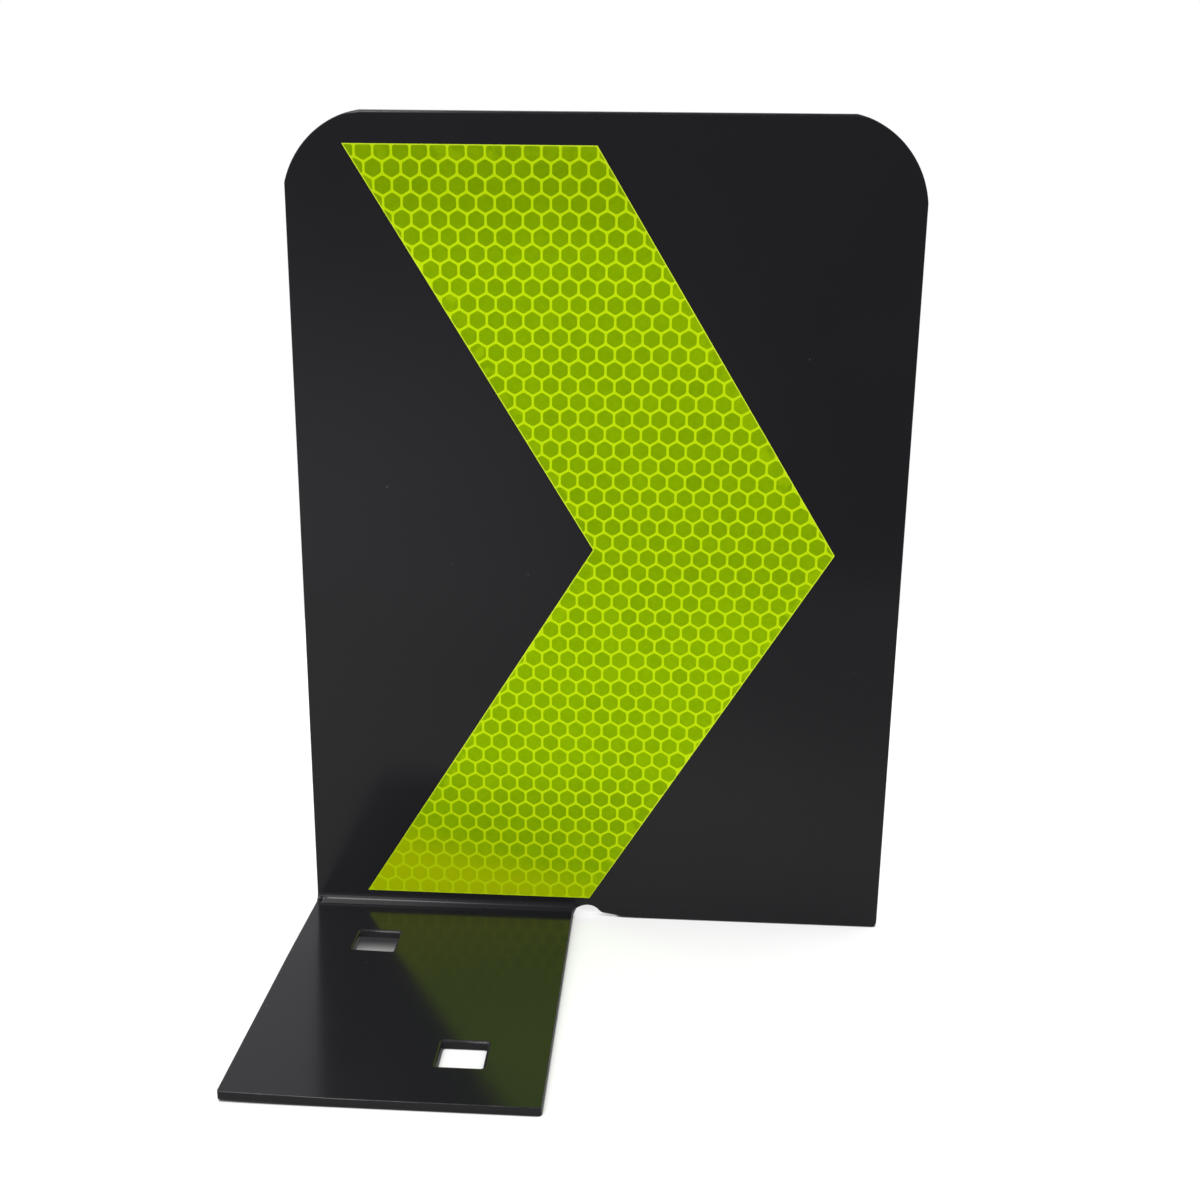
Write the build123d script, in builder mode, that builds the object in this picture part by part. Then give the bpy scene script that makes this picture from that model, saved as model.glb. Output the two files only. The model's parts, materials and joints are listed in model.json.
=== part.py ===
from build123d import *
import os

# Kerb delineator: one steel sheet folded into a tall panel and a short foot, with a
# reflective chevron stuck to the front of the panel.
# +X runs along the panel, the way the chevron points. +Y is away from the traffic. +Z is up.
# The origin is on the ground, under the middle of the part. All sizes are in millimetres.

# Steel sheet
sheet_thickness = 3.0
bend_inside_radius = 3.0

# Panel
panel_width = 220.0
panel_height = 300.0
panel_top_radius = 32.0
panel_low_radius = 2.0

# Foot: its reach runs from the back of the panel to the front edge
foot_width = 101.5
foot_reach = 130.0
foot_corner_radius = 1.0

# Round relief at the end of the bend: how high it rises above the panel's lower edge, and
# how far it bites past the line of the foot's inner side
relief_radius = 5.85
relief_rise = 4.75
relief_bite = 0.2

# Ramp from under the middle of the relief to the panel's lower edge, and its rounded ends
ramp_rise = 2.5
ramp_length = 17.0
ramp_lip_radius = 3.0
ramp_end_radius = 60.0

# Square bolt holes: the rear one is set out from the panel's face and the outer side of
# the foot, the front one from the front edge and the inner side
bolt_hole_side = 16.5
bolt_hole_corner_radius = 0.6
rear_hole_from_panel = 30.5
rear_hole_from_side = 30.0
front_hole_from_edge = 26.5
front_hole_from_side = 28.5

# Chevron: margins to the panel's edges and to the bend, and the width of its band along X
chevron_left_margin = 20.5
chevron_right_margin = 24.5
chevron_top_margin = 11.0
chevron_bend_margin = 2.0
chevron_band_width = 87.5

# Layers of the reflective sheeting, from the panel outwards
adhesive_thickness = 0.1
backing_thickness = 0.1
prism_film_thickness = 0.2

# Places that follow from the sizes
panel_left = -panel_width / 2
panel_right = panel_width / 2
panel_back = foot_reach / 2
panel_front = panel_back - sheet_thickness
foot_front = panel_back - foot_reach
foot_right = panel_left + foot_width
relief_middle = foot_right + relief_radius - relief_bite
bend_top = bend_inside_radius + sheet_thickness

os.makedirs("parts", exist_ok=True)

# Plate: a folded strip as wide as the foot, and the panel that rises from it
with BuildPart() as bent_plate:
    # The strip's outer line, given the thickness of the sheet on its inner side.
    # Its upright leg overlaps the panel above the bend.
    with BuildSketch(Plane.YZ.offset(panel_left)):
        with BuildLine():
            FilletPolyline(
                (panel_back, bend_top + sheet_thickness),
                (panel_back, 0),
                (foot_front, 0),
                radius=bend_top,
            )
            offset(amount=sheet_thickness, side=Side.RIGHT)
        make_face()
    extrude(amount=foot_width)
    fillet(bent_plate.edges().filter_by(Axis.Z).group_by(Axis.Y)[0], foot_corner_radius)

    # The panel stands on its own lower edge beside the foot, and is cut by the relief there.
    # The ramp's high end lies inside the relief.
    with BuildSketch(Plane.XZ.offset(-panel_back)) as panel_outline:
        with BuildLine():
            Polyline(
                (panel_left, bend_top),
                (panel_left, panel_height),
                (panel_right, panel_height),
                (panel_right, 0),
                (relief_middle + ramp_length, 0),
                (relief_middle, ramp_rise),
                (relief_middle, 0),
                (foot_right, 0),
                (foot_right, bend_top),
                close=True,
            )
        make_face()
        fillet(panel_outline.vertices().group_by(Axis.Y)[-1], panel_top_radius)
        fillet(panel_outline.vertices().group_by(Axis.Y)[0].sort_by(Axis.X)[-1], panel_low_radius)
        with Locations((relief_middle, relief_rise - relief_radius)):
            Circle(relief_radius, mode=Mode.SUBTRACT)
        beside_relief = panel_outline.vertices().filter_by_position(Axis.X, relief_middle, panel_right)
        fillet(beside_relief.sort_by(Axis.X)[0], ramp_lip_radius)
        fillet(panel_outline.vertices().group_by(Axis.Y)[0].sort_by(Axis.X)[-2], ramp_end_radius)
    extrude(amount=sheet_thickness)

    # Square holes for the bolts that hold the foot to the kerb
    with BuildSketch(Plane.XY):
        with Locations(
            (panel_left + rear_hole_from_side, panel_front - rear_hole_from_panel),
            (foot_right - front_hole_from_side, foot_front + front_hole_from_edge),
        ):
            RectangleRounded(bolt_hole_side, bolt_hole_side, bolt_hole_corner_radius)
    extrude(amount=sheet_thickness, mode=Mode.SUBTRACT)

# Outline that all layers of the sheeting are cut to, seen from the front
chevron_left = panel_left + chevron_left_margin
chevron_tip = panel_right - chevron_right_margin
chevron_top = panel_height - chevron_top_margin
chevron_low = bend_top + chevron_bend_margin
chevron_middle = (chevron_top + chevron_low) / 2
with BuildSketch() as chevron:
    with BuildLine():
        Polyline(
            (chevron_left, chevron_low),
            (chevron_left + chevron_band_width, chevron_low),
            (chevron_tip, chevron_middle),
            (chevron_left + chevron_band_width, chevron_top),
            (chevron_left, chevron_top),
            (chevron_tip - chevron_band_width, chevron_middle),
            close=True,
        )
    make_face()

# Adhesive on the panel's front face
with BuildPart() as adhesive_layer:
    with BuildSketch(Plane.XZ.offset(-panel_front)):
        add(chevron.sketch)
    extrude(amount=adhesive_thickness)

# Film that seals the back of the prisms
backing_back = panel_front - adhesive_thickness
with BuildPart() as backing_film:
    with BuildSketch(Plane.XZ.offset(-backing_back)):
        add(chevron.sketch)
    extrude(amount=backing_thickness)

# Clear face film with the prisms on its back
prism_film_back = backing_back - backing_thickness
with BuildPart() as prism_film:
    with BuildSketch(Plane.XZ.offset(-prism_film_back)):
        add(chevron.sketch)
    extrude(amount=prism_film_thickness)

bent_plate.part.label = "bent_plate"
adhesive_layer.part.label = "adhesive_layer"
backing_film.part.label = "backing_film"
prism_film.part.label = "prism_film"

export_step(bent_plate.part, "parts/bent_plate.step")
export_step(adhesive_layer.part, "parts/adhesive_layer.step")
export_step(backing_film.part, "parts/backing_film.step")
export_step(prism_film.part, "parts/prism_film.step")
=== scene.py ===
"""The looks of a kerb delineator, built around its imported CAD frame.

A steel sheet is cut flat, folded once and painted black, and a reflective chevron is
stuck to the front of its panel. Sizes are in millimetres, in the CAD frame: +X is the way
the chevron points, +Y is away from the traffic and +Z is up.
"""

import json
import logging
import math
import random
from collections.abc import Iterator, Sequence
from dataclasses import dataclass
from enum import Enum
from typing import Any, NamedTuple

import bmesh
import bpy
from bmesh.types import BMEdge, BMesh, BMFace, BMVert
from bpy.types import Camera, Light, Material, Mesh, Node, NodeSocket, NodeTree, Object, World
from mathutils import Matrix, Vector
from mathutils.geometry import delaunay_2d_cdt


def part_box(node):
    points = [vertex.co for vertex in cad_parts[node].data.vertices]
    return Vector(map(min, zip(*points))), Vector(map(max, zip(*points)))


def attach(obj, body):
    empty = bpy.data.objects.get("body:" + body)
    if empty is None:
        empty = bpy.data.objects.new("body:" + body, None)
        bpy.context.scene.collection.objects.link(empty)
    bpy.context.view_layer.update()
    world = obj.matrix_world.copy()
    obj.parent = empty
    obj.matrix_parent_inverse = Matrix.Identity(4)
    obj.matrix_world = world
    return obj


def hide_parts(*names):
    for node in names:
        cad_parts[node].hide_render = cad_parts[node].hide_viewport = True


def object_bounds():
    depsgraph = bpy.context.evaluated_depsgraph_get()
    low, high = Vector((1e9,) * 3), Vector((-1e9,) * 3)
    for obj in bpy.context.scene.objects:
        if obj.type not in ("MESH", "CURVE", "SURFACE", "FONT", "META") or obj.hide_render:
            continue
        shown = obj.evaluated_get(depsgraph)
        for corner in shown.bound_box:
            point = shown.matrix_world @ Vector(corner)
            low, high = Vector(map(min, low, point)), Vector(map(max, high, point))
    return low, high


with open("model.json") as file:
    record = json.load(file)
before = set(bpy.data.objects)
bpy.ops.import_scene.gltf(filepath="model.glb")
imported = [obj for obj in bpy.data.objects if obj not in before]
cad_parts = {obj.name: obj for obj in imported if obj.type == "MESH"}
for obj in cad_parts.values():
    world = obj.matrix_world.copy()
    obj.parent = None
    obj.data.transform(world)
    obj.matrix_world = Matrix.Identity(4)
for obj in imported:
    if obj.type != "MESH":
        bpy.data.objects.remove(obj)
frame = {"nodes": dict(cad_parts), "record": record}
CAD_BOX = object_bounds()

# Where something starts and where it ends
Span = tuple[float, float]

LOG = logging.getLogger("kerb_delineator")
BODY = "root"
MM = 0.001

# Names of the mesh attributes that the finishes read
# How much rubbed paint, and the painted sheen that goes with it, each edge gets
EDGE_WEAR_AND_SHEEN = "edge_wear_and_sheen"
CELL_TONE = "cell_tone"
CELL_CRUSH = "cell_crush"

# The chevron's places among the film's outlines: its cut edge, and the line inside that
CUT_LINE, INNER_LINE = 0, 1

# How near two points count as one, where a plane cuts a mesh and where outlines cross
CUT_NEAR = 5e-3
CROSS_NEAR = 1e-5

# The way of joining outlines into triangles that leaves out what lies outside them all
INSIDE_ONLY = 1


def linear(colour: str) -> tuple[float, float, float, float]:
    """Turns an sRGB hex colour into the linear one that shaders take.

    Args:
        colour: The colour as "#rrggbb".

    Returns:
        Red, green and blue, with an alpha of 1.
    """
    shares = (int(colour[k : k + 2], 16) / 255 for k in (1, 3, 5))
    light = (s / 12.92 if s <= 0.04045 else ((s + 0.055) / 1.055) ** 2.4 for s in shares)
    return (*light, 1.0)


def per_metre(size: float) -> float:
    """The texture scale at which one feature is the given size, in millimetres."""
    return 1 / (size * MM)


def eased(share: float) -> float:
    """Keeps a share between 0 and 1, and eases both of its ends."""
    share = min(max(share, 0.0), 1.0)
    return share * share * (3 - 2 * share)


def toward(azimuth: float, elevation: float) -> Vector:
    """The way from the part to a place that is given by two angles, in degrees.

    Args:
        azimuth: The angle round the part from its front, where +X is at 90.
        elevation: The angle above the ground.

    Returns:
        A vector of length 1.
    """
    turn, rise = math.radians(azimuth), math.radians(elevation)
    level = math.cos(rise)
    return Vector((math.sin(turn) * level, -math.cos(turn) * level, math.sin(rise)))


def spaced(start: float, length: float, parts: int, first: int = 0) -> list[float]:
    """The places that divide a length into equal parts, from the first one asked for."""
    return [start + length * k / parts for k in range(first, parts + 1)]


def bare_tree(owner: Material | World) -> NodeTree:
    """Turns on the nodes of a material or a world, and clears them away.

    Args:
        owner: The material or the world.

    Returns:
        Its empty tree.
    """
    owner.use_nodes = True
    owner.node_tree.nodes.clear()
    return owner.node_tree


def add_node(
    tree: NodeTree, kind: str, inputs: dict[str, Any] | Sequence[Any] = (), **settings: Any
) -> Node:
    """Adds a node with its settings, and sets or links its inputs.

    Args:
        tree: The tree that takes the node.
        kind: The node's type, without its "ShaderNode".
        inputs: What goes into the node's inputs, by their names or in the order of those in
            use: a value, an output, or a node that stands for its first output in use.
        settings: The node's own properties.

    Returns:
        The new node.
    """
    node = tree.nodes.new("ShaderNode" + kind)
    for name, value in settings.items():
        setattr(node, name, value)
    if isinstance(inputs, dict):
        pairs = [(node.inputs[name], value) for name, value in inputs.items()]
    else:
        pairs = zip([socket for socket in node.inputs if socket.enabled], inputs)
    for socket, value in pairs:
        if isinstance(value, Node):
            value = next(output for output in value.outputs if output.enabled)
        if isinstance(value, NodeSocket):
            tree.links.new(value, socket)
        else:
            socket.default_value = value
    return node


class Corner(NamedTuple):
    """A corner of a flat outline, and the radius that rounds it."""

    x: float
    y: float
    radius: float = 0.0


def arc_points(centre: Vector, radius: float, start: float, end: float, steps: int) -> list[Vector]:
    """Points along an arc.

    Args:
        centre: The arc's centre.
        radius: The arc's radius.
        start: The angle of its first point, in radians.
        end: The angle of its last point, in radians.
        steps: How many straight pieces the arc is made of.

    Returns:
        The points, with both ends.
    """
    angles = (start + (end - start) * k / steps for k in range(steps + 1))
    return [centre + radius * Vector((math.cos(a), math.sin(a))) for a in angles]


def rounded_outline(corners: Sequence[Corner], steps: int) -> list[Vector]:
    """Points of a closed outline with rounded corners.

    Args:
        corners: The corners in order.
        steps: How many straight pieces each rounded corner is made of.

    Returns:
        The points in the same order.
    """
    points = []
    for k, corner in enumerate(corners):
        here = Vector(corner[:2])
        if not corner.radius:
            points.append(here)
            continue
        back = (Vector(corners[k - 1][:2]) - here).normalized()
        ahead = (Vector(corners[(k + 1) % len(corners)][:2]) - here).normalized()
        half = back.angle(ahead) / 2
        centre = here + (back + ahead).normalized() * corner.radius / math.sin(half)
        start = here + back * corner.radius / math.tan(half) - centre
        turn = math.copysign(math.pi - 2 * half, ahead.cross(back))
        angle = math.atan2(start.y, start.x)
        points += arc_points(centre, corner.radius, angle, angle + turn, steps)
    return points


def mitres(outline: Sequence[Vector]) -> list[Vector]:
    """For each point of an outline, the way out of the material there.

    Args:
        outline: Points with the material on their left.

    Returns:
        One vector for each point, as long as the point moves when its sides move by 1.
    """
    ways = []
    for k, here in enumerate(outline):
        before = here - outline[k - 1]
        after = outline[(k + 1) % len(outline)] - here
        first = Vector((before.y, -before.x)).normalized()
        second = Vector((after.y, -after.x)).normalized()
        ways.append((first + second) / (1 + first.dot(second)))
    return ways


def settled(name: str, shape: BMesh) -> Mesh:
    """Turns a shape that has been worked on into a mesh.

    Args:
        name: The mesh's name.
        shape: The shape, which is used up.

    Returns:
        The mesh.
    """
    mesh = bpy.data.meshes.new(name)
    shape.to_mesh(mesh)
    shape.free()
    return mesh


def put(name: str, data: Mesh | Light | Camera) -> Object:
    """Puts a mesh, a lamp or a camera into the scene.

    Args:
        name: The object's name.
        data: What the object shows or holds.

    Returns:
        The object.
    """
    thing = bpy.data.objects.new(name, data)
    bpy.context.scene.collection.objects.link(thing)
    return thing


def add_piece(name: str, mesh: Mesh, node: str) -> Object:
    """Puts a mesh into the scene as a piece that stands for a CAD node.

    Args:
        name: The piece's name.
        mesh: Its mesh, in metres.
        node: The CAD node that it replaces.

    Returns:
        The piece.
    """
    piece = put(name, mesh)
    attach(piece, BODY)
    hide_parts(node)
    LOG.info("%s stands for %s: %d faces", name, node, len(mesh.polygons))
    return piece


class Grain(NamedTuple):
    """A cloudy pattern: the size of its features, in millimetres, and its finer octaves."""

    size: float
    detail: float


@dataclass(frozen=True)
class Finish:
    """What every finish has: a name, a roughness, an index of refraction and a surface."""

    name: str
    roughness: float
    ior: float

    def surface(self, tree: NodeTree, place: NodeSocket) -> dict[str, Any]:
        """Adds the nodes of the finish's own patterns.

        Args:
            tree: The material's tree.
            place: The place on the object, in metres.

        Returns:
            The shader's inputs.
        """
        raise NotImplementedError

    def material(self) -> Material:
        """Builds the material.

        Returns:
            The material, named as the finish is.
        """
        material = bpy.data.materials.new(self.name)
        tree = bare_tree(material)
        place = add_node(tree, "TexCoord").outputs["Object"]
        shader = add_node(tree, "BsdfPrincipled", {"IOR": self.ior, **self.surface(tree, place)})
        add_node(tree, "OutputMaterial", (shader,))
        return material


@dataclass(frozen=True)
class StovedBlackEnamel(Finish):
    """Black enamel, sprayed on steel sheet and stoved.

    It gives the eye a near black with a cold cast, a soft gloss that blurs what it mirrors,
    a faint skin of orange peel, a little dust, and edges where the paint is thin and rubbed,
    whose lighter grey also paints a faint sheen along their rounding.
    """

    name: str = "stoved_black_enamel"
    roughness: float = 0.15
    ior: float = 1.5
    colour: str = "#18181B"

    # Clouds in the black, and smears that change the gloss
    cloudy: str = "#1C1C1F"
    clouds: Grain = Grain(60.0, 3.0)
    smears: Grain = Grain(22.0, 4.0)
    smear_edges: Span = (0.3, 0.7)
    smear_gloss: Span = (-0.01, 0.02)

    # Specks of dust a few tenths of a millimetre wide: their edges are shares of the spacing
    dust: str = "#57575A"
    dust_spacing: float = 21.0
    dust_edges: Span = (0.012, 0.024)
    dust_strength: float = 0.4

    # Patches of rubbed paint along the edges, whose lighter grey also paints a faint sheen there
    rubbed_paint_and_sheen: str = "#6E6F70"
    rub_and_sheen: Grain = Grain(5.0, 5.0)
    rub_and_sheen_edges: Span = (0.42, 0.7)
    rub_and_sheen_strength: Span = (0.04, 0.4)

    # Orange peel
    peel: Grain = Grain(2.4, 1.0)
    peel_height: float = 0.004

    def surface(self, tree: NodeTree, place: NodeSocket) -> dict[str, Any]:
        """Adds clouds, smears, dust, rubbed edges with a painted sheen, and orange peel.

        Args:
            tree: The material's tree.
            place: The place on the object, in metres.

        Returns:
            The shader's inputs.
        """
        clouds, smears, rub_and_sheen, peel = (
            add_node(tree, "TexNoise", (place, per_metre(grain.size), grain.detail))
            for grain in (self.clouds, self.smears, self.rub_and_sheen, self.peel)
        )
        specks = add_node(tree, "TexVoronoi", (place, per_metre(self.dust_spacing)))
        gloss, dusty, patches = (
            add_node(tree, "MapRange", values)
            for values in (
                (smears, *self.smear_edges, *(self.roughness + step for step in self.smear_gloss)),
                (specks, *self.dust_edges, self.dust_strength, 0.0),
                (rub_and_sheen, *self.rub_and_sheen_edges, *self.rub_and_sheen_strength),
            )
        )
        # Rubbed paint along the edges, whose lighter grey also paints a faint sheen on them
        edge = add_node(tree, "Attribute", attribute_name=EDGE_WEAR_AND_SHEEN).outputs["Fac"]
        worn_and_sheen = add_node(tree, "Math", (edge, patches), operation="MULTIPLY")
        colour = linear(self.colour)
        for share, tone in ((clouds, self.cloudy), (dusty, self.dust), (worn_and_sheen, self.rubbed_paint_and_sheen)):
            colour = add_node(tree, "Mix", (share, colour, linear(tone)), data_type="RGBA")
        bump = add_node(tree, "Bump", {"Height": peel, "Distance": self.peel_height * MM})
        return {"Base Color": colour, "Roughness": gloss, "Normal": bump}


@dataclass(frozen=True)
class DyedFilm(Finish):
    """Acrylic film, cast clear and dyed a fluorescent yellow-green.

    It gives the eye a very clean, saturated colour under a smooth gloss. Light that meets the
    dye comes back yellow-green, so even its reflections have no blue in them.
    """

    colour: str = "#C0E010"
    second: str = "#BADC0C"
    mottle: Grain = Grain(9.0, 3.0)
    gloss_spread: float = 0.04
    reflection: str = "#C8E000"

    # The yellower colour near the bend, a painted light, and the heights between which it fades
    painted_light_low_colour: str = "#A9C208"
    painted_light_low_lean: float = 0.3
    painted_light_low_span: Span = (62.0, -5.0)

    # Painted light and shade that scale the colour with the height: the heights between which
    # each comes in, and what it comes to
    painted_light_by_height: tuple[tuple[float, float, float], ...] = ((245, 280, 0.89), (150, 105, 1.04))

    def dye(self, tree: NodeTree, place: NodeSocket) -> dict[str, Any]:
        """Colours the film with a faint mottle, and gives it its gloss.

        Args:
            tree: The material's tree.
            place: The place on the object, in metres.

        Returns:
            The shader's inputs.
        """
        size, detail = self.mottle
        mottle = add_node(tree, "TexNoise", (place, per_metre(size), detail))
        colours = linear(self.colour), linear(self.second)
        low, high = self.roughness - self.gloss_spread, self.roughness + self.gloss_spread
        return {
            "Base Color": add_node(tree, "Mix", (mottle, *colours), data_type="RGBA"),
            "Roughness": add_node(tree, "MapRange", (mottle, 0.0, 1.0, low, high)),
            "Specular Tint": linear(self.reflection),
        }

    def surface(self, tree: NodeTree, place: NodeSocket) -> dict[str, Any]:
        """Dyes the film, and paints light on it: yellower near the bend, lighter or darker with
        height.

        The painted yellower part reaches higher on the left, so its height is taken at a lean.

        Args:
            tree: The material's tree.
            place: The place on the object, in metres.

        Returns:
            The shader's inputs.
        """
        inputs = self.dye(tree, place)
        spans = [(self.painted_light_low_lean, *self.painted_light_low_span, 0.0, 1.0)]
        spans += [(0.0, start, end, 1.0, tone) for start, end, tone in self.painted_light_by_height]
        levels = []
        for lean, start, end, *painted_light_levels in spans:
            height = add_node(tree, "VectorMath", (place, (lean, 0, 1)), operation="DOT_PRODUCT")
            values = (height, start * MM, end * MM, *painted_light_levels)
            levels.append(add_node(tree, "MapRange", values, interpolation_type="SMOOTHSTEP"))
        # The share of painted light near the bend, then the painted light and shade by height
        low, *painted_light_levels = levels
        colours = inputs["Base Color"], linear(self.painted_light_low_colour)
        colour = add_node(tree, "Mix", (low, *colours), data_type="RGBA")
        for tone in painted_light_levels:
            colour = add_node(tree, "VectorMath", (colour, tone), operation="SCALE")
        return inputs | {"Base Color": colour}


@dataclass(frozen=True)
class PrismFilm(DyedFilm):
    """The same film where it is moulded with prisms and has air behind it.

    The prisms send light back to where it came from, so from the side each cell looks deeper
    green than the seal around it, a little different from its neighbours. The prisms are far
    finer than a pixel and are drawn coarser.
    """

    prism_pitch: float = 0.9
    prism_depth: float = 0.002
    groove_width: float = 0.2
    groove_shade: float = 0.16
    shadow: str = "#729602"
    speckle: Grain = Grain(1.6, 2.0)
    speckle_edges: Span = (0.3, 0.7)
    speckle_shade: float = 0.3
    crushed: str = "#A8CA06"
    crush: Grain = Grain(5.0, 2.0)
    crush_edges: Span = (0.44, 0.58)
    # Its own painted light near the bend, and painted light and shade by height
    painted_light_low_colour: str = "#9DAF02"
    painted_light_low_span: Span = (22.0, -2.0)
    painted_light_by_height: tuple[tuple[float, float, float], ...] = (
        (245, 280, 0.83),
        (150, 105, 1.14),
        (68, 42, 0.86),
        (30, 12, 1.04),
    )

    def dye(self, tree: NodeTree, place: NodeSocket) -> dict[str, Any]:
        """Colours the film, with the prisms and the patches that they show.

        Args:
            tree: The material's tree.
            place: The place on the object, in metres.

        Returns:
            The shader's inputs.
        """
        inputs = super().dye(tree, place)

        # Three sets of lines at 60 degrees make the triangles of the prisms. Each rises over
        # half a pitch and falls over the other.
        lines = []
        for turn in map(math.radians, (90, 210, 330)):
            way = Vector((math.cos(turn), 0, math.sin(turn))) * per_metre(self.prism_pitch)
            along = add_node(tree, "VectorMath", (place, way), operation="DOT_PRODUCT")
            lines.append(add_node(tree, "Math", (along, 0.5), operation="PINGPONG"))
        ridge, *others = lines
        for line in others:
            ridge = add_node(tree, "Math", (line, ridge), operation="MINIMUM")

        # The grooves between the prisms, specks, and pale patches beside the cut edge, where
        # the knife has pressed the film down
        speckle, crush = (
            add_node(tree, "TexNoise", (place, per_metre(grain.size), grain.detail))
            for grain in (self.speckle, self.crush)
        )
        grooves, specks, patches = (
            add_node(tree, "MapRange", values)
            for values in (
                (ridge, 0.0, self.groove_width, self.groove_shade, 0.0),
                (speckle, *self.speckle_edges, 0.0, self.speckle_shade),
                (crush, *self.crush_edges),
            )
        )
        tone, cut = (
            add_node(tree, "Attribute", attribute_name=name).outputs["Fac"]
            for name in (CELL_TONE, CELL_CRUSH)
        )
        for part in (grooves, specks):
            tone = add_node(tree, "Math", (tone, part), operation="ADD", use_clamp=True)
        pale = add_node(tree, "Math", (patches, cut), operation="MULTIPLY")
        colour = inputs["Base Color"]
        for share, other in ((tone, self.shadow), (pale, self.crushed)):
            colour = add_node(tree, "Mix", (share, colour, linear(other)), data_type="RGBA")
        bump = add_node(tree, "Bump", {"Height": ridge, "Distance": self.prism_depth * MM})
        return inputs | {"Base Color": colour, "Normal": bump}


@dataclass(frozen=True)
class PressureAdhesive(Finish):
    """Acrylic adhesive, coated clear on the backing film.

    Only its cut edge shows, as a dull, slightly dusty line.
    """

    name: str = "clear_acrylic_adhesive"
    roughness: float = 0.5
    ior: float = 1.47
    colour: str = "#9DA27C"
    grimy: str = "#4E5138"
    grime: Grain = Grain(3.0, 4.0)
    grime_gloss: Span = (-0.1, 0.2)
    grime_height: float = 0.01
    grime_strength: float = 0.5

    def surface(self, tree: NodeTree, place: NodeSocket) -> dict[str, Any]:
        """Adds the grime that sticks to the edge.

        Args:
            tree: The material's tree.
            place: The place on the object, in metres.

        Returns:
            The shader's inputs.
        """
        size, detail = self.grime
        grime = add_node(tree, "TexNoise", (place, per_metre(size), detail))
        colours = linear(self.colour), linear(self.grimy)
        gloss = (self.roughness + step for step in self.grime_gloss)
        relief = {"Strength": self.grime_strength, "Distance": self.grime_height * MM}
        return {
            "Base Color": add_node(tree, "Mix", (grime, *colours), data_type="RGBA"),
            "Roughness": add_node(tree, "MapRange", (grime, 0.0, 1.0, *gloss)),
            "Normal": add_node(tree, "Bump", {"Height": grime, **relief}),
        }


class EdgeStep(NamedTuple):
    """One step round a sheet's edge, from its front face to its back."""

    inset: float
    depth: float
    lean: float


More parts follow.
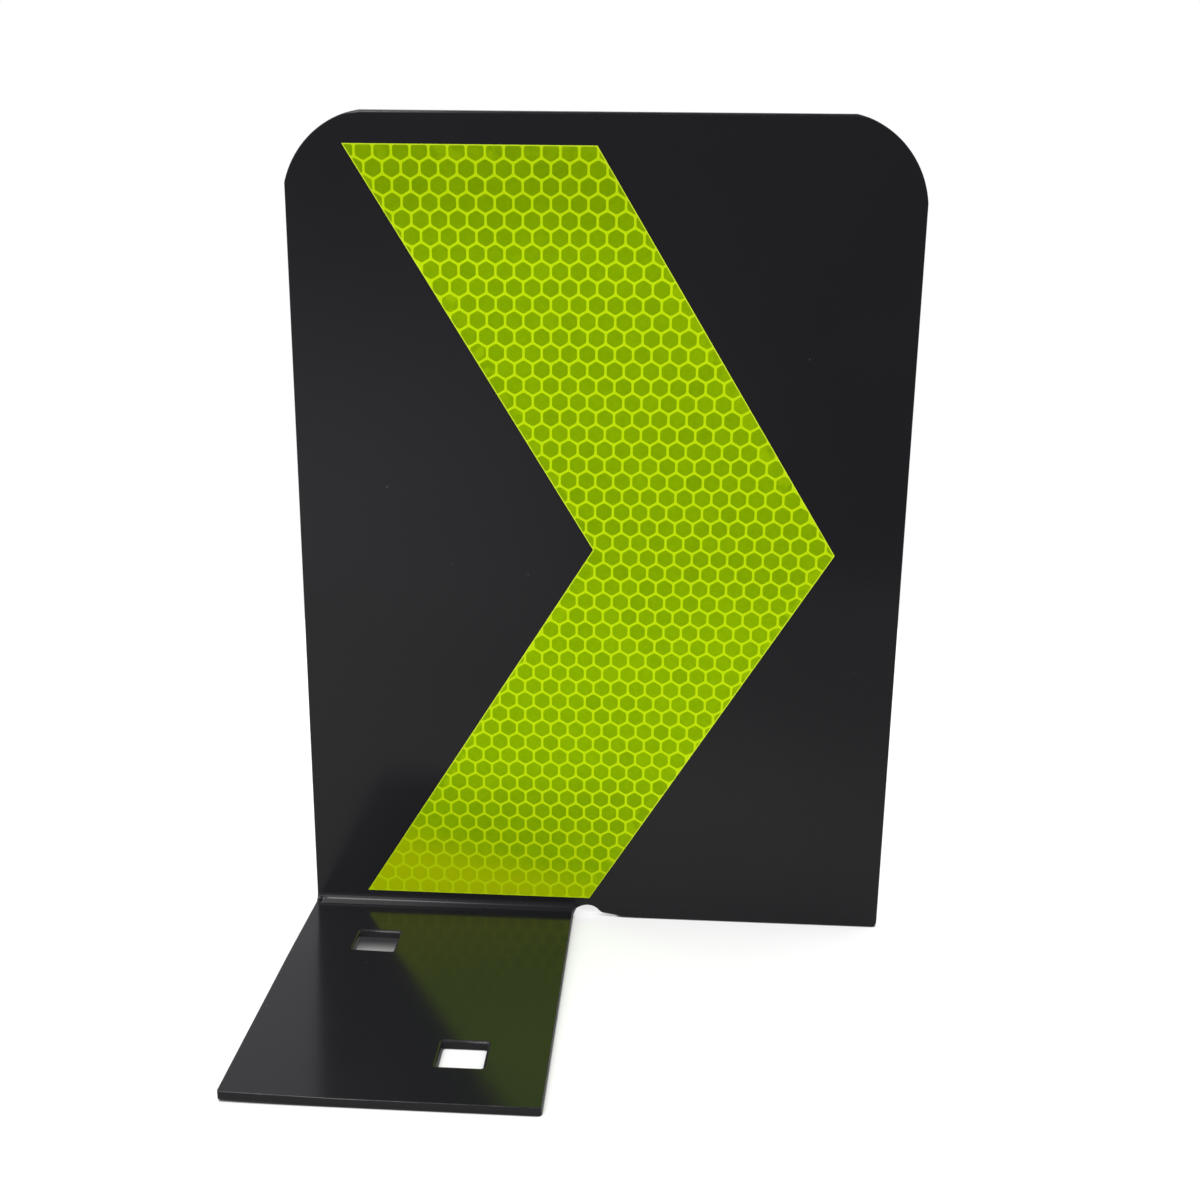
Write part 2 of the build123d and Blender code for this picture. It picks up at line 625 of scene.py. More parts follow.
@dataclass
class FoldedPlate:
    """The steel sheet: a blank with holes and a relief cut, folded once and painted.

    The blank is made flat, in x and in a height that runs on below the bend, and its depth
    is measured from the front face. Then it is folded.
    """

    node: str = "bent_plate"
    thickness: float = 3.0
    bend_inside: float = 3.0

    # The parts that the bend is divided into, and those of the same size below it
    bend_parts: int = 48
    parts_below: int = 16

    # Where the press's nose ended, in degrees round the bend, how deep it pressed there, and
    # how far its mark reaches up and down
    press_turn: float = 87.0
    press_depth: float = 0.5
    press_run: float = 1.75
    press_step: float = 0.12

    # Where it pinched the bend, from the bend's left end and above that line, and how far
    # from that end the sheet is divided for it
    pinch_place: tuple[float, float] = (2.5, 1.5)
    pinch_radius: float = 1.2
    pinch_depth: float = 0.22
    pinch_span: float = 4.8
    pinch_parts: int = 12

    # The curl of the foot's left side: its slope, how far in it begins, the width over which
    # it bends up, and the run from the bend over which it grows. That run is divided from
    # its fourth part on.
    curl_slope: float = 0.019
    curl_reach: float = 43.0
    curl_width: float = 10.0
    curl_run: float = 45.0
    curl_parts: int = 6
    grow_parts: int = 9
    grow_first: int = 4

    # The top corners: radius, and how far the centre lies from the side and from the top
    right_corner: tuple[float, float, float] = (33.5, 33.25, 32.55)
    left_corner: tuple[float, float, float] = (33.1, 31.95, 32.7)
    corner_lead: float = 1.0
    corner_parts: int = 24
    low_radius: float = 2.0
    foot_width: float = 101.5
    foot_corner: float = 1.0

    # The relief, the ramp beside it, and how far past the foot the bend runs out
    relief_radius: float = 5.85
    relief_rise: float = 4.75
    ramp_rise: float = 2.5
    ramp_length: float = 17.0
    ramp_lip: float = 3.0
    ramp_end: float = 60.0
    run_out: float = 3.5
    run_out_parts: int = 6

    # The holes, inside the rims that the punch has rolled over
    hole_width: float = 15.2
    hole_depth: float = 14.0
    hole_corner: float = 0.6
    hole_mounts: tuple[str, ...] = ("rear_bolt_hole", "front_bolt_hole")
    punch_radius: float = 1.0

    # The rounded edge that the paint leaves, and the top one that the shears have rolled over
    edge_radius: float = 0.25
    edge_parts: int = 4
    roll_radius: float = 1.1
    roll_fade: float = 1.5
    finish: Finish = StovedBlackEnamel()

    def __post_init__(self) -> None:
        """Takes the outer sizes from the CAD frame, and works out the bend."""
        low, high = (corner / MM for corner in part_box(self.node))
        self.left: float = low.x
        self.right: float = high.x
        self.top: float = high.z
        self.front: float = high.y - self.thickness
        self.foot_right: float = low.x + self.foot_width
        self.bend_axis_y: float = self.front - self.bend_inside
        self.bend_start: float = self.thickness + self.bend_inside
        self.bend_length: float = (self.bend_inside + self.thickness / 2) * math.pi / 2
        self.bend_end: float = self.bend_start - self.bend_length
        self.foot_end: float = self.flat_height(low.y)
        self.relief_x: float = self.foot_right + self.relief_radius
        self.relief_z: float = self.relief_rise - self.relief_radius

    def flat_height(self, y: float) -> float:
        """The height on the flat blank of a line across the foot at the given y."""
        return self.bend_end - (self.bend_axis_y - y)

    def relief_points(self) -> list[Corner]:
        """The relief cut, from the foot's inner side over its top and down its ramp.

        Returns:
            The cut's points as plain corners, and the ramp's end in the panel's lower edge.
        """
        centre = Vector((self.relief_x, self.relief_z))
        end = Vector((self.relief_x + self.ramp_length, 0))
        lean = math.atan2(self.ramp_rise, self.ramp_length)
        above = Vector((math.sin(lean), math.cos(lean)))
        reach = self.relief_radius + self.ramp_lip
        turn = math.asin((self.ramp_lip + (end - centre).dot(above)) / reach) - lean
        lip = centre + reach * Vector((math.cos(turn), math.sin(turn)))
        points = arc_points(centre, self.relief_radius, math.pi, turn, self.corner_parts)
        start, stop = math.pi + turn, 1.5 * math.pi - lean
        points += arc_points(lip, self.ramp_lip, start, stop, self.edge_parts)[1:]
        return [*(Corner(*point) for point in points), Corner(*end, self.ramp_end)]

    def top_corner(self, side: float, radius: float, aside: float, below: float) -> list[Corner]:
        """A top corner of the panel, whose rounding meets the edges at a slight angle.

        Args:
            side: The x of the panel's edge at this corner.
            radius: The rounding's radius.
            aside: How far its centre lies from that edge.
            below: How far its centre lies below the top edge.

        Returns:
            The corner's points, from the edge to the top, with one on each just beyond it.
        """
        arc = arc_points(
            Vector((0, 0)),
            radius,
            math.acos(aside / radius),
            math.asin(below / radius),
            self.corner_parts,
        )
        before = arc[0] - Vector((0, self.corner_lead))
        after = arc[-1] - Vector((self.corner_lead, 0))
        way = math.copysign(1, side)
        return [
            Corner(side + way * (point.x - aside), self.top + point.y - below)
            for point in (before, *arc, after)
        ]

    def outlines(self) -> Iterator[list[Vector]]:
        """The blank's outlines, each with the material on its left.

        Yields:
            The outer outline, then the outline of each hole.
        """
        corners = [
            Corner(self.left, self.foot_end, self.foot_corner),
            Corner(self.foot_right, self.foot_end, self.foot_corner),
            *self.relief_points(),
            Corner(self.right, 0, self.low_radius),
            *self.top_corner(self.right, *self.right_corner),
            *reversed(self.top_corner(self.left, *self.left_corner)),
        ]
        yield rounded_outline(corners, self.corner_parts)
        wide, deep = self.hole_width / 2, self.hole_depth / 2
        square = ((-wide, -deep), (-wide, deep), (wide, deep), (wide, -deep))
        for mount in frame["record"]["mounts"]:
            if mount["name"] in self.hole_mounts:
                x, y, _ = (place / MM for place in mount["pos_m"])
                height = self.flat_height(y)
                yield rounded_outline(
                    [Corner(x + u, height + v, self.hole_corner) for u, v in square],
                    self.edge_parts,
                )

    def edge_steps(self) -> list[EdgeStep]:
        """The rounded edge that the paint leaves, as seen in a section of the sheet.

        Returns:
            The steps, from the front face round to the back.
        """
        steps = []
        for part in range(2 * self.edge_parts + 2):
            on_back = part > self.edge_parts
            lean = math.pi / 2 * (part - on_back) / self.edge_parts
            depth = self.edge_radius * (1 - math.cos(lean))
            if on_back:
                depth += self.thickness - 2 * self.edge_radius
            steps.append(EdgeStep(self.edge_radius * (1 - math.sin(lean)), depth, lean))
        return steps

    def roll(self, height: float) -> float:
        """How much rounder the front of the edge is where the shears have rolled the top over.

        Args:
            height: The height on the blank.

        Returns:
            The edge's radius there, as a multiple of the plain one.
        """
        share = eased(1 - (self.top - height) / self.roll_fade)
        return 1 + (self.roll_radius / self.edge_radius - 1) * share

    def flat_blank(self) -> BMesh:
        """Makes the blank before it is folded.

        Returns:
            The blank, with the way each point faces and how much rubbed paint and painted sheen it
            gets.
        """
        blank = bmesh.new()
        facing = blank.verts.layers.float_vector.new("facing")
        wear_and_sheen = blank.verts.layers.float.new(EDGE_WEAR_AND_SHEEN)
        steps = self.edge_steps()
        rims: tuple[list, list] = ([], [])
        punched = self.punch_radius / self.edge_radius
        for k, outline in enumerate(self.outlines()):
            rings = []
            ways = mitres(outline)
            rolls = [punched if k else self.roll(point.y) for point in outline]
            for step in steps:
                ring = []
                for point, way, roll in zip(outline, ways, rolls):
                    roll = roll if step.depth < self.thickness / 2 else 1.0
                    spot = point - way * step.inset * roll
                    vert = blank.verts.new((spot.x, spot.y, step.depth * roll))
                    out = way.normalized() * math.sin(step.lean)
                    vert[facing] = (out.x, out.y, -math.cos(step.lean))
                    # Rubbed paint and painted sheen, most halfway round the edge's rounding, less
                    # where it is rolled
                    vert[wear_and_sheen] = abs(math.sin(2 * step.lean)) / roll
                    ring.append(vert)
                rings.append(ring)
            for near, far in zip(rings, rings[1:]):
                for n in range(len(near)):
                    blank.faces.new((near[n - 1], near[n], far[n], far[n - 1]))
            for rim, ring in zip(rims, (rings[0], rings[-1])):
                rim += [blank.edges.get((ring[n - 1], ring[n])) for n in range(len(ring))]
        for rim in rims:
            bmesh.ops.triangle_fill(blank, use_beauty=True, edges=rim)
        return blank

    def score(self, blank: BMesh) -> None:
        """Divides the blank's faces along the bend, where it runs out, at the pinch and the curl.

        Args:
            blank: The flat blank.
        """
        bends = spaced(self.bend_end, self.bend_length, self.bend_parts, -self.parts_below)
        places = [
            *spaced(self.foot_right, self.run_out, self.run_out_parts),
            *spaced(self.left, self.pinch_span, self.pinch_parts, 1),
            *spaced(self.left + self.curl_reach, -self.curl_width, self.curl_parts),
        ]
        grows = spaced(self.bend_end, -self.curl_run, self.grow_parts, self.grow_first)
        across, along = Vector((1, 0, 0)), Vector((0, 1, 0))
        for way, spots in ((along, bends), (across, places), (along, grows)):
            for spot in spots:
                bmesh.ops.bisect_plane(
                    blank,
                    geom=[*blank.verts, *blank.edges, *blank.faces],
                    dist=CUT_NEAR,
                    plane_co=way * spot,
                    plane_no=way,
                )

    def press_mark(self, x: float, height: float) -> Vector:
        """The mark that the press has left inside the bend, at a place on the blank.

        The nose presses the bend a little flat, down to the line where it ended, and pinches
        its left end.

        Args:
            x: The place along the bend.
            height: The place's height on the flat blank.

        Returns:
            How the mark deepens along x and with the height, and how deep it is.
        """
        line = self.bend_start - self.bend_length * self.press_turn / 90
        above = (height - line) * self.bend_inside / (self.bend_inside + self.thickness / 2)
        run = self.press_run if above >= 0 else -self.press_step
        share = max(1 - above / run, 0.0)
        mark = self.press_depth * Vector((0, -2 * share / run, share * share))
        off = Vector((x - self.left, above)) - Vector(self.pinch_place)
        pinch = self.pinch_depth * math.exp(-off.length_squared / self.pinch_radius**2)
        return mark + pinch * Vector((*(off * -2 / self.pinch_radius**2), 1))

    def curl(self, x: float, height: float) -> Vector:
        """How the press has left the foot's left side curled up, at a place on the blank.

        Args:
            x: The place across the foot.
            height: The place's height on the flat blank.

        Returns:
            How the lift grows along x and with the height, and the lift.
        """
        inside = max(self.left + self.curl_reach - x, 0.0)
        bent = min(inside, self.curl_width)
        lift = self.curl_slope * (inside - bent + bent * bent / (2 * self.curl_width))
        share = min(max((self.bend_end - height) / self.curl_run, 0.0), 1.0)
        grown = eased(share)
        along = -self.curl_slope * bent / self.curl_width * grown

        # The easing's own slope is 6 s (1 - s)
        growth = 6 * share * (1 - share) / self.curl_run
        return Vector((along, -growth * lift, lift * grown))

    def press(self, blank: BMesh) -> None:
        """Leaves the marks of the press in the blank's front, and curls the foot's left side.

        Args:
            blank: The flat blank, divided along the bend.
        """
        facing = blank.verts.layers.float_vector["facing"]
        for vert in blank.verts:
            x, height, depth = vert.co
            share = 1 - 2 * depth / self.thickness
            if x <= self.foot_right and share > 0:
                *slope, mark = self.press_mark(x, height)
                vert.co.z += mark * share
                if depth == 0:
                    vert[facing] = Vector((*slope, -1)).normalized()
            *slope, lift = self.curl(x, height)
            vert.co.z -= lift
            out = vert[facing]
            lean = Vector((*slope, 0))
            vert[facing] = out + lean * out.z - Vector((0, 0, lean.dot(out)))

    def fold(self, flat: Vector) -> tuple[Vector, Matrix]:
        """Folds one point of the blank.

        Args:
            flat: The point's x, height and depth on the flat blank.

        Returns:
            The point's place, in millimetres, and the turn from the blank's axes to the frame's.
        """
        x, height, depth = flat
        share = eased(1 - (x - self.foot_right) / self.run_out)
        run = min(max(self.bend_start - height, 0.0), self.bend_length)
        angle = math.pi / 2 * run / self.bend_length * share
        along = Vector((0, math.sin(angle), math.cos(angle)))
        inward = Vector((0, math.cos(angle), -math.sin(angle)))
        turn = Matrix((Vector((1, 0, 0)), along, inward)).transposed()
        if angle == 0:
            return Vector((x, self.front + depth, height)), turn
        middle = self.thickness / 2
        place = Vector((x, self.front + middle, self.bend_start))
        place += run / angle * Vector((0, math.cos(angle) - 1, -math.sin(angle)))
        place += (depth - middle) * inward + min(height - self.bend_end, 0.0) * along
        return place, turn

    def build(self) -> Object:
        """Makes the plate and paints it.

        Returns:
            The plate.
        """
        plate = self.flat_blank()
        self.score(plate)
        self.press(plate)
        facing = plate.verts.layers.float_vector["facing"]
        normals = []
        for vert in plate.verts:
            place, turn = self.fold(vert.co)
            vert.co = place * MM
            normals.append((turn @ vert[facing]).normalized())
        plate.verts.layers.float_vector.remove(facing)
        bmesh.ops.recalc_face_normals(plate, faces=plate.faces)
        if plate.calc_volume(signed=True) < 0:
            bmesh.ops.reverse_faces(plate, faces=plate.faces)
        for face in plate.faces:
            face.smooth = True
        mesh = settled("folded_plate", plate)
        mesh.normals_split_custom_set_from_vertices(normals)
        mesh.materials.append(self.finish.material())
        return add_piece("folded_plate", mesh, self.node)


class FilmZone(Enum):
    """The parts of the film's face, numbered as their finishes are."""

    CELL = 0
    SEAL = 1
    CUT_EDGE = 2


@dataclass
class Sheeting:
    """The reflective chevron: prism film on a backing film, stuck down by an adhesive.

    The prism film is sealed to its backing along the lines of a honeycomb. The lines are
    pressed in a little, so each cell stands up as a low pillow.
    """

    node: str = "prism_film"
    band_width: float = 87.5

    # The honeycomb: its pitches, the place of one cell, its lean, and the seal between cells
    cell_pitch: float = 6.435
    row_pitch: float = 5.634
    cell_place: tuple[float, float] = (2.07, 5.03)
    cell_lean: float = -0.0019
    seal_width: float = 0.85
    cell_corner: float = 1.1
    corner_parts: int = 3

    # The shares of a whole cell under which one is left as seal, and counts as cut
    least_share: float = 0.05
    whole_share: float = 0.98
    # The width of the band inside the cut edge that takes the painted glow
    cut_width: float = 0.35

    # The pillows: how deep the seal lies, and the width of each step up to a cell's face
    press_depth: float = 0.03
    shoulder: float = 0.12
    shoulder_most: float = 0.5
    shoulder_steps: int = 2

    # How deep the cells' tones are, how much they differ, and how pale a cut one may be
    tone_middle: float = 0.17
    tone_spread: float = 0.09
    crush: float = 0.45
    seed: int = 11
    cell_finish: Finish = PrismFilm(
        "fluorescent_film_over_prisms", 0.22, 1.45, colour="#8BAF02", second="#86AB02"
    )
    seal_finish: Finish = DyedFilm("fluorescent_film_on_seal", 0.26, 1.45)
    # A brighter colour along the cut edge, a painted glow of the light that the film carries to it
    edge_glow_finish: Finish = DyedFilm(
        "fluorescent_film_painted_edge_glow", 0.4, 1.45, colour="#D4EC3A", second="#C6E21E"
    )
    backing_finish: Finish = DyedFilm(
        "dyed_backing_film", 0.45, 1.5, colour="#B9D61A", second="#A9C612"
    )
    adhesive_finish: Finish = PressureAdhesive()

    def __post_init__(self) -> None:
        """Takes the chevron's box and the film's thickness from the CAD frame."""
        low, high = (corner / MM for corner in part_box(self.node))
        self.left: float = low.x
        self.tip: float = high.x
        self.low: float = low.z
        self.top: float = high.z
        self.face: float = low.y
        self.rear: float = high.y

    def chevron(self, inset: float) -> list[Vector]:
        """The chevron's outline as seen from the front, with the film on its left.

        Args:
            inset: How far inside the cut edge the outline runs.

        Returns:
            The outline's corners.
        """
        middle = (self.low + self.top) / 2
        shoulder = self.left + self.band_width
        outline = [
            Vector((self.left, self.low)),
            Vector((shoulder, self.low)),
            Vector((self.tip, middle)),
            Vector((shoulder, self.top)),
            Vector((self.left, self.top)),
            Vector((self.tip - self.band_width, middle)),
        ]
        return [point - way * inset for point, way in zip(outline, mitres(outline))]

    def cells(self) -> Iterator[list[Vector]]:
        """The honeycomb's cells, whole, over the chevron and a little beyond it.

        Yields:
            Each cell's outline.
        """
        x0, z0 = self.cell_place
        reach = self.cell_pitch / math.sqrt(3) * (1 - self.seal_width / self.cell_pitch)
        stretch = self.row_pitch / (self.cell_pitch * math.sqrt(3) / 2)
        half = (self.top - self.low) / 2
        first = math.floor((self.low - z0) / self.row_pitch)
        last = math.ceil((self.top - z0) / self.row_pitch)
        columns = math.ceil((self.tip - self.left) / self.cell_pitch)
        for row in range(first, last + 1):
            z = z0 + row * self.row_pitch
            lean = (self.tip - self.band_width - self.left) * (1 - abs(z - self.low - half) / half)
            for column in range(-columns, columns + 1):
                x = x0 + (column + row % 2 / 2) * self.cell_pitch + self.cell_lean * (z - z0)
                across = x - self.left - lean
                if -self.cell_pitch < across < self.band_width + self.cell_pitch:
                    turns = (math.radians(60 * k + 90) for k in range(6))
                    hexagon = [
                        Corner(
                            x + reach * math.cos(turn),
                            z + reach * stretch * math.sin(turn),
                            self.cell_corner,
                        )
                        for turn in turns
                    ]
                    yield rounded_outline(hexagon, self.corner_parts)

    def face_mesh(self) -> tuple[BMesh, list[BMFace]]:
        """Divides the film's face into cells, seal lines and cut edge.

        Returns:
            The face, still flat, and the cells in it.
        """
        points: list[Vector] = []
        shapes: list[list[int]] = []
        outlines = [self.chevron(0), self.chevron(self.cut_width), *self.cells()]
        for outline in outlines:
            shapes.append(list(range(len(points), len(points) + len(outline))))
            points += outline
        spots, _, triangles, _, _, owners = delaunay_2d_cdt(
            points, [], shapes, INSIDE_ONLY, CROSS_NEAR, True
        )

        film = bmesh.new()
        tone = film.faces.layers.float.new(CELL_TONE)
        pale = film.faces.layers.float.new(CELL_CRUSH)
        verts = [film.verts.new((spot.x, self.face, spot.y)) for spot in spots]
        fragments: dict[int, list[BMFace]] = {}
        for triangle, owner in zip(triangles, owners):
            if CUT_LINE not in owner:
                continue
            face = film.faces.new([verts[k] for k in triangle])
            inside = INNER_LINE in owner
            # The band along the cut edge takes the painted glow
            face.material_index = (FilmZone.SEAL if inside else FilmZone.CUT_EDGE).value
            if inside and max(owner) > INNER_LINE:
                fragments.setdefault(max(owner), []).append(face)

        draw = random.Random(self.seed)
        areas = {
            owner: sum(face.calc_area() for face in fragment)
            for owner, fragment in fragments.items()
        }
        whole = max(areas.values())
        inner: list[BMEdge] = []
        for owner, fragment in sorted(fragments.items()):
            shade = min(max(draw.gauss(self.tone_middle, self.tone_spread), 0.0), 1.0)
            cut = areas[owner] < self.whole_share * whole
            crushed = draw.uniform(0, self.crush) * cut
            if areas[owner] > self.least_share * whole:
                for face in fragment:
                    face.material_index = FilmZone.CELL.value
                    face[tone] = shade
                    face[pale] = crushed
                own = set(fragment)
                sides = dict.fromkeys(side for face in fragment for side in face.edges)
                inner += [side for side in sides if own.issuperset(side.link_faces)]
        bmesh.ops.dissolve_edges(film, edges=inner, use_verts=False)
        unused = [vert for vert in film.verts if not vert.link_faces]
        bmesh.ops.delete(film, geom=unused, context="VERTS")
        return film, [f for f in film.faces if f.material_index == FilmZone.CELL.value]

    def build(self) -> Object:
        """Makes the prism film, and gives all layers of the sheeting their finishes.

        Returns:
            The prism film.
        """
        film, cells = self.face_mesh()
        for vert in film.verts:
            vert.co.y += self.press_depth
        for _ in range(self.shoulder_steps):
            bmesh.ops.inset_individual(film, faces=cells, thickness=0, depth=0)
            for cell in cells:
                middle = cell.calc_center_median()
                half_width = 2 * cell.calc_area() / cell.calc_perimeter()
                share = min(self.shoulder / half_width, self.shoulder_most)
                for vert in cell.verts:
                    vert.co = vert.co.lerp(middle, share)
                    vert.co.y -= self.press_depth / self.shoulder_steps
        border = [edge for edge in film.edges if edge.is_boundary]
        wall = bmesh.ops.extrude_edge_only(film, edges=border)["geom"]
        for item in wall:
            if isinstance(item, BMVert):
                item.co.y = self.rear
            elif isinstance(item, BMFace):
                # The cut edge's wall takes the painted glow too
                item.material_index = FilmZone.CUT_EDGE.value
        rear = [e for e in wall if isinstance(e, BMEdge) and e.is_boundary]
        bmesh.ops.contextual_create(film, geom=rear)
        bmesh.ops.recalc_face_normals(film, faces=film.faces)
        bmesh.ops.scale(film, vec=(MM, MM, MM), verts=film.verts)
        mesh = settled("honeycomb_film", film)
        for finish in (self.cell_finish, self.seal_finish, self.edge_glow_finish):
            mesh.materials.append(finish.material())
        for node, finish in (
            ("backing_film", self.backing_finish),
            ("adhesive_layer", self.adhesive_finish),
        ):
            layer = frame["nodes"][node]
            layer.data.materials.clear()
            layer.data.materials.append(finish.material())
            LOG.info("%s keeps its CAD shape, in %s", node, finish.name)
        return add_piece("honeycomb_film", mesh, self.node)


@dataclass(frozen=True)
class Softbox:
    """A flat lamp that looks at the part, with its width level and its length upright."""

    name: str
    azimuth: float
    elevation: float
    distance: float
    width: float
    length: float
    radiance: float

    def build(self, target: Vector) -> Object:
        """Hangs the lamp.

        Args:
            target: The point that it looks at, in metres.

        Returns:
            The lamp.
        """
        way = toward(self.azimuth, self.elevation)
        lamp = bpy.data.lights.new(self.name, "AREA")
        lamp.shape = "RECTANGLE"
        lamp.size = self.width * MM
        lamp.size_y = self.length * MM
        lamp.energy = self.radiance * math.pi * lamp.size * lamp.size_y
        holder = put(self.name, lamp)
        holder.location = target + way * self.distance * MM
        holder.rotation_euler = way.to_track_quat("Z", "Y").to_euler()
        return holder


class Ramp(NamedTuple):
    """A soft step along an axis, from 0 at its start to 1 at its end."""

    axis: str
    start: float
    end: float


@dataclass(frozen=True)
class Studio:
    """A pale paper floor, soft light from all sides and two softboxes.

    The paper and the backdrop are white to the camera, apart from the part's shadow and a
    painted shade: deep at the back of the foot, and thin where the sheet meets the paper. The
    room on the camera's side is dimmer than the backdrop, and that is what the front of the
    black panel mirrors.
    """

    # The paper: its tones for all but the camera, which paint a shade that darkens far off and
    # towards +x, and the distance and the x over which it turns from the near one to the far one
    floor_radius: float = 500.0
    floor_parts: int = 96
    floor_near: str = "#959593"
    floor_far: str = "#6C6C6A"
    floor_fade: Span = (40, 260)
    floor_side: Span = (-220, 60)

    # The paper for the camera: its white, a lift, and the painted shade under the foot, with its
    # edges
    floor_white: str = "#E6E6E6"
    floor_lift: float = 0.2
    floor_shade: str = "#38383A"
    shade_edges: tuple[Ramp, ...] = (
        Ramp("X", -110, -104),
        Ramp("X", -20, -40),
        Ramp("Y", 16, 37),
        Ramp("Y", 64, 58),
    )

    # The thin painted shade where the sheet meets the paper: its width, and the share of open
    # sky at which it begins and is full
    contact: float = 1.0
    contact_sky: Span = (0.8, 0.5)

    # What gloss shows: the backdrop, a dark and a light part of the room, and a bright window.
    # Each begins and ends along the axes of the way that a ray goes.
    backdrop: str = "#BEBEC2"
    dark_side: str = "#4C4C52"
    light_side: str = "#BCBCC0"
    window: float = 1.3
    light_left: Ramp = Ramp("X", 0.14, -0.3)
    light_low: Ramp = Ramp("Z", 0.05, -0.22)
    window_left: Ramp = Ramp("X", -0.14, -0.19)
    window_high: Ramp = Ramp("Z", 0.1, 0.2)
    backdrop_rear: Ramp = Ramp("Y", -0.12, 0.4)

    # The plain light: how strong it is in front, behind and below
    sky_front: float = 1.6
    sky_rear: float = 1.0
    sky_low: float = 0.3
    sky_turn: Ramp = Ramp("Y", -0.5, 0.5)
    sky_under: Ramp = Ramp("Z", 0.03, -0.03)
    lamps: tuple[Softbox, ...] = (
        Softbox("key_softbox", -30.4, 49.3, 1320, 340, 415, 4.5),
        Softbox("rear_softbox", -147, 65, 1300, 650, 650, 1.6),
    )

    def paper(self) -> Material:
        """Makes the floor's paper.

        Returns:
            The paper, white to the camera but for painted shade, and painted darker far off in what
            gloss and light meet.
        """
        material = bpy.data.materials.new("white_paper")
        tree = bare_tree(material)
        rays = add_node(tree, "LightPath").outputs
        place = add_node(tree, "TexCoord").outputs["Object"]
        axes = add_node(tree, "SeparateXYZ", (place,)).outputs
        away = add_node(tree, "VectorMath", (place,), operation="LENGTH")
        far, right, deep, *edges = (
            add_node(
                tree, "MapRange", (value, start * MM, end * MM), interpolation_type="SMOOTHSTEP"
            )
            for value, start, end in (
                (away, *self.floor_fade),
                (axes["X"], *self.floor_side),
                *((axes[axis], *ends) for axis, *ends in self.shade_edges),
            )
        )
        # Painted shade on the paper for all but the camera, darker far off and towards +x
        fade = add_node(tree, "Math", (far, right), operation="MULTIPLY")
        tints = linear(self.floor_near), linear(self.floor_far)
        tint = add_node(tree, "Mix", (fade, *tints), data_type="RGBA")
        plain = add_node(tree, "BsdfDiffuse", (tint,))
        white = add_node(tree, "BsdfDiffuse", (linear(self.floor_white),))
        lift = add_node(tree, "Emission", {"Strength": self.floor_lift})
        shown = add_node(tree, "AddShader", (white, lift))

        # The painted shade beneath the foot, and the thin painted one where the sheet meets the
        # paper, which the lift would wash out
        sky = add_node(tree, "AmbientOcclusion", {"Distance": self.contact * MM}).outputs["AO"]
        shade = add_node(tree, "MapRange", (sky, *self.contact_sky))
        for edge in edges:
            deep = add_node(tree, "Math", (deep, edge), operation="MULTIPLY")
        shade = add_node(tree, "Math", (shade, deep), operation="MAXIMUM")
        dark = add_node(tree, "Emission", (linear(self.floor_shade),))
        shown = add_node(tree, "MixShader", (shade, shown, dark))
        seen = add_node(tree, "MixShader", (rays["Is Camera Ray"], plain, shown))
        add_node(tree, "OutputMaterial", (seen,))
        return material

    def floor(self) -> Object:
        """Lays the paper.

        Returns:
            The floor.
        """
        disc = bmesh.new()
        bmesh.ops.create_circle(
            disc, cap_ends=True, segments=self.floor_parts, radius=self.floor_radius * MM
        )
        mesh = settled("studio_floor", disc)
        mesh.materials.append(self.paper())
        floor = put("studio_floor", mesh)
        return floor

    def world(self) -> World:
        """Makes the light from all sides.

        Returns:
            The world: a plain light, a backdrop for what gloss shows and white for the camera.
        """
        world = bpy.data.worlds.new("studio")
        tree = bare_tree(world)
        rays = add_node(tree, "LightPath").outputs
        way = add_node(tree, "TexCoord").outputs["Generated"]
        axes = add_node(tree, "SeparateXYZ", (way,)).outputs
        left, low, aside, above, behind, under = (
            add_node(tree, "MapRange", (axes[axis], *ends), interpolation_type="SMOOTHSTEP")
            for axis, *ends in (
                self.light_left,
                self.light_low,
                self.window_left,
                self.window_high,
                self.backdrop_rear,
                self.sky_under,
            )
        )
        lighter = add_node(tree, "Math", (left, low), operation="MULTIPLY")
        window = add_node(tree, "Math", (aside, above), operation="MULTIPLY")
        shown = linear(self.dark_side)
        for share, colour in (
            (lighter, linear(self.light_side)),
            (window, (*3 * (self.window,), 1.0)),
            (behind, linear(self.backdrop)),
        ):
            shown = add_node(tree, "Mix", (share, shown, colour), data_type="RGBA")
        axis, *ends = self.sky_turn
        turned = add_node(tree, "MapRange", (axes[axis], *ends, self.sky_front, self.sky_rear))
        shaded = add_node(tree, "MapRange", (under, 0.0, 1.0, 1.0, self.sky_low))
        level = add_node(tree, "Math", (turned, shaded), operation="MULTIPLY")
        white = linear("#FFFFFF")
        light, mirrored, plain = (
            add_node(tree, "Background", values)
            for values in ((white, level), (shown,), (white,))
        )
        glossy = rays["Is Glossy Ray"], rays["Is Transmission Ray"]
        gloss = add_node(tree, "Math", glossy, operation="MAXIMUM")
        lit = add_node(tree, "MixShader", (gloss, light, mirrored))
        seen = add_node(tree, "MixShader", (rays["Is Camera Ray"], lit, plain))
        add_node(tree, "OutputWorld", (seen,))
        return world

    def build(self) -> None:
        """Sets up the floor, the world and the lamps, and the plain view of colours."""
        low, high = CAD_BOX
        self.floor()
        for lamp in self.lamps:
            lamp.build((low + high) / 2)
        scene = bpy.context.scene
        scene.world = self.world()
        scene.view_settings.view_transform = "Standard"


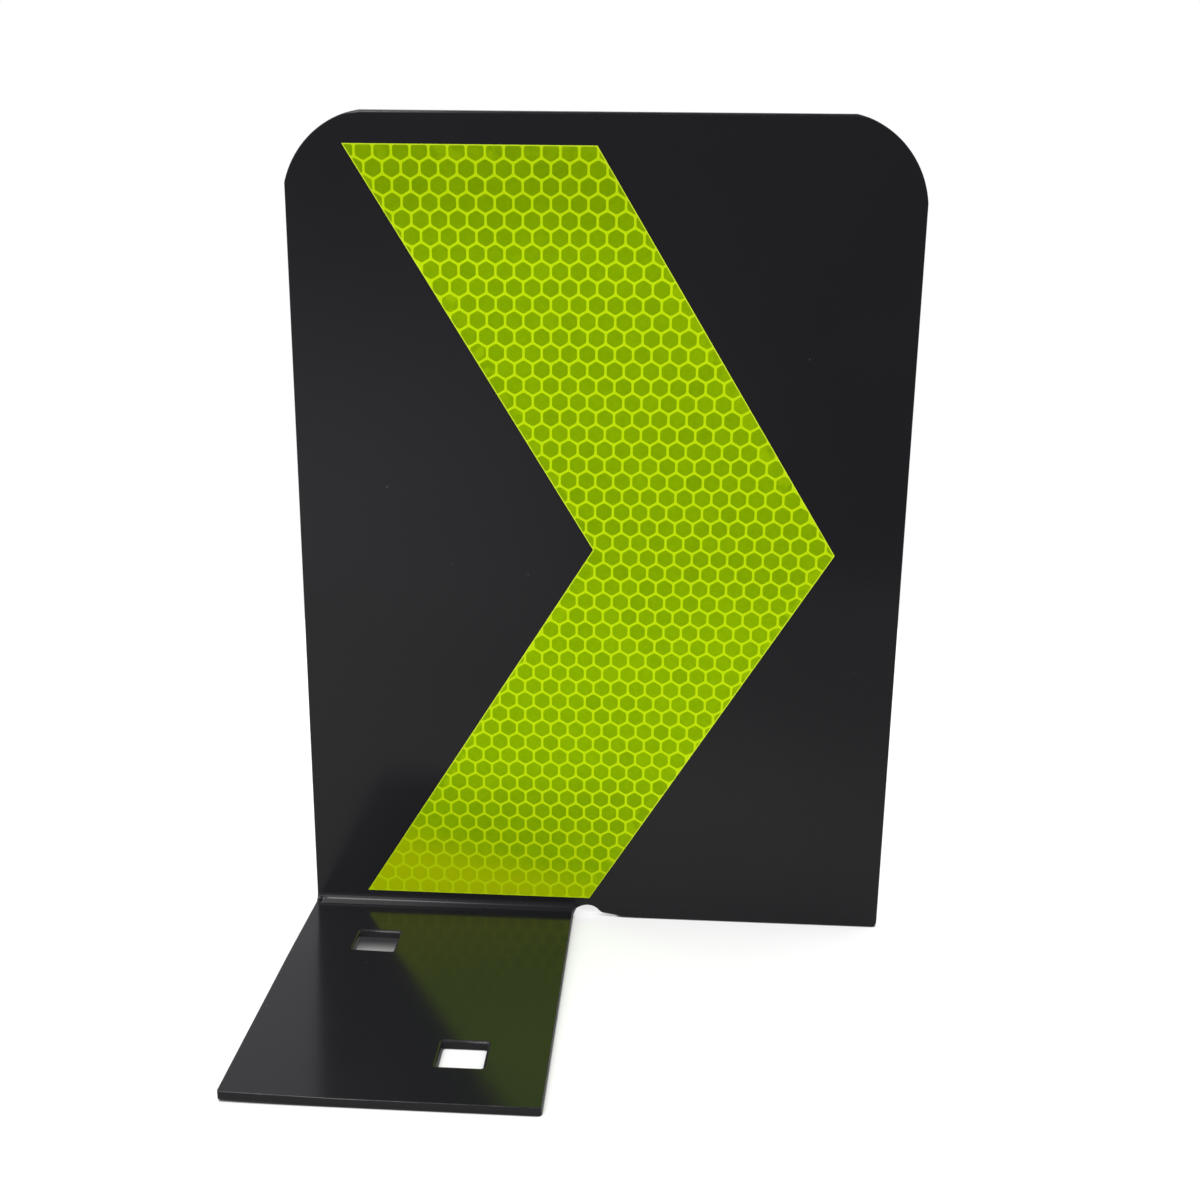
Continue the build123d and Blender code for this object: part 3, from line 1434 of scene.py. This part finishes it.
@dataclass(frozen=True)
class ViewPoint:
    """Where the photograph was taken from, and with what lens. Angles are in degrees."""

    place: tuple[float, float, float] = (27.76, -437.64, 272.31)
    heading: float = -3.097
    tilt: float = 15.929
    roll: float = 0.707
    lens: float = 42.35
    sensor: float = 36.0

    def build(self) -> Object:
        """Sets up the camera.

        Returns:
            The camera.
        """
        heading = math.radians(self.heading)
        ahead = -toward(-self.heading, self.tilt)
        right = Vector((math.cos(heading), -math.sin(heading), 0))
        level = Matrix((right, right.cross(ahead), -ahead)).transposed().to_4x4()
        data = bpy.data.cameras.new("camera")
        data.lens = self.lens
        data.sensor_width = self.sensor
        camera = put("camera", data)
        camera.matrix_world = (
            Matrix.Translation(Vector(self.place) * MM)
            @ level
            @ Matrix.Rotation(math.radians(self.roll), 4, "Z")
        )
        bpy.context.scene.camera = camera
        return camera


def main() -> None:
    """Builds the plate, the sheeting, the studio and the camera."""
    logging.basicConfig(level=logging.INFO, format="%(name)s: %(message)s")
    FoldedPlate().build()
    Sheeting().build()
    Studio().build()
    ViewPoint().build()


if __name__ == "__main__":
    main()
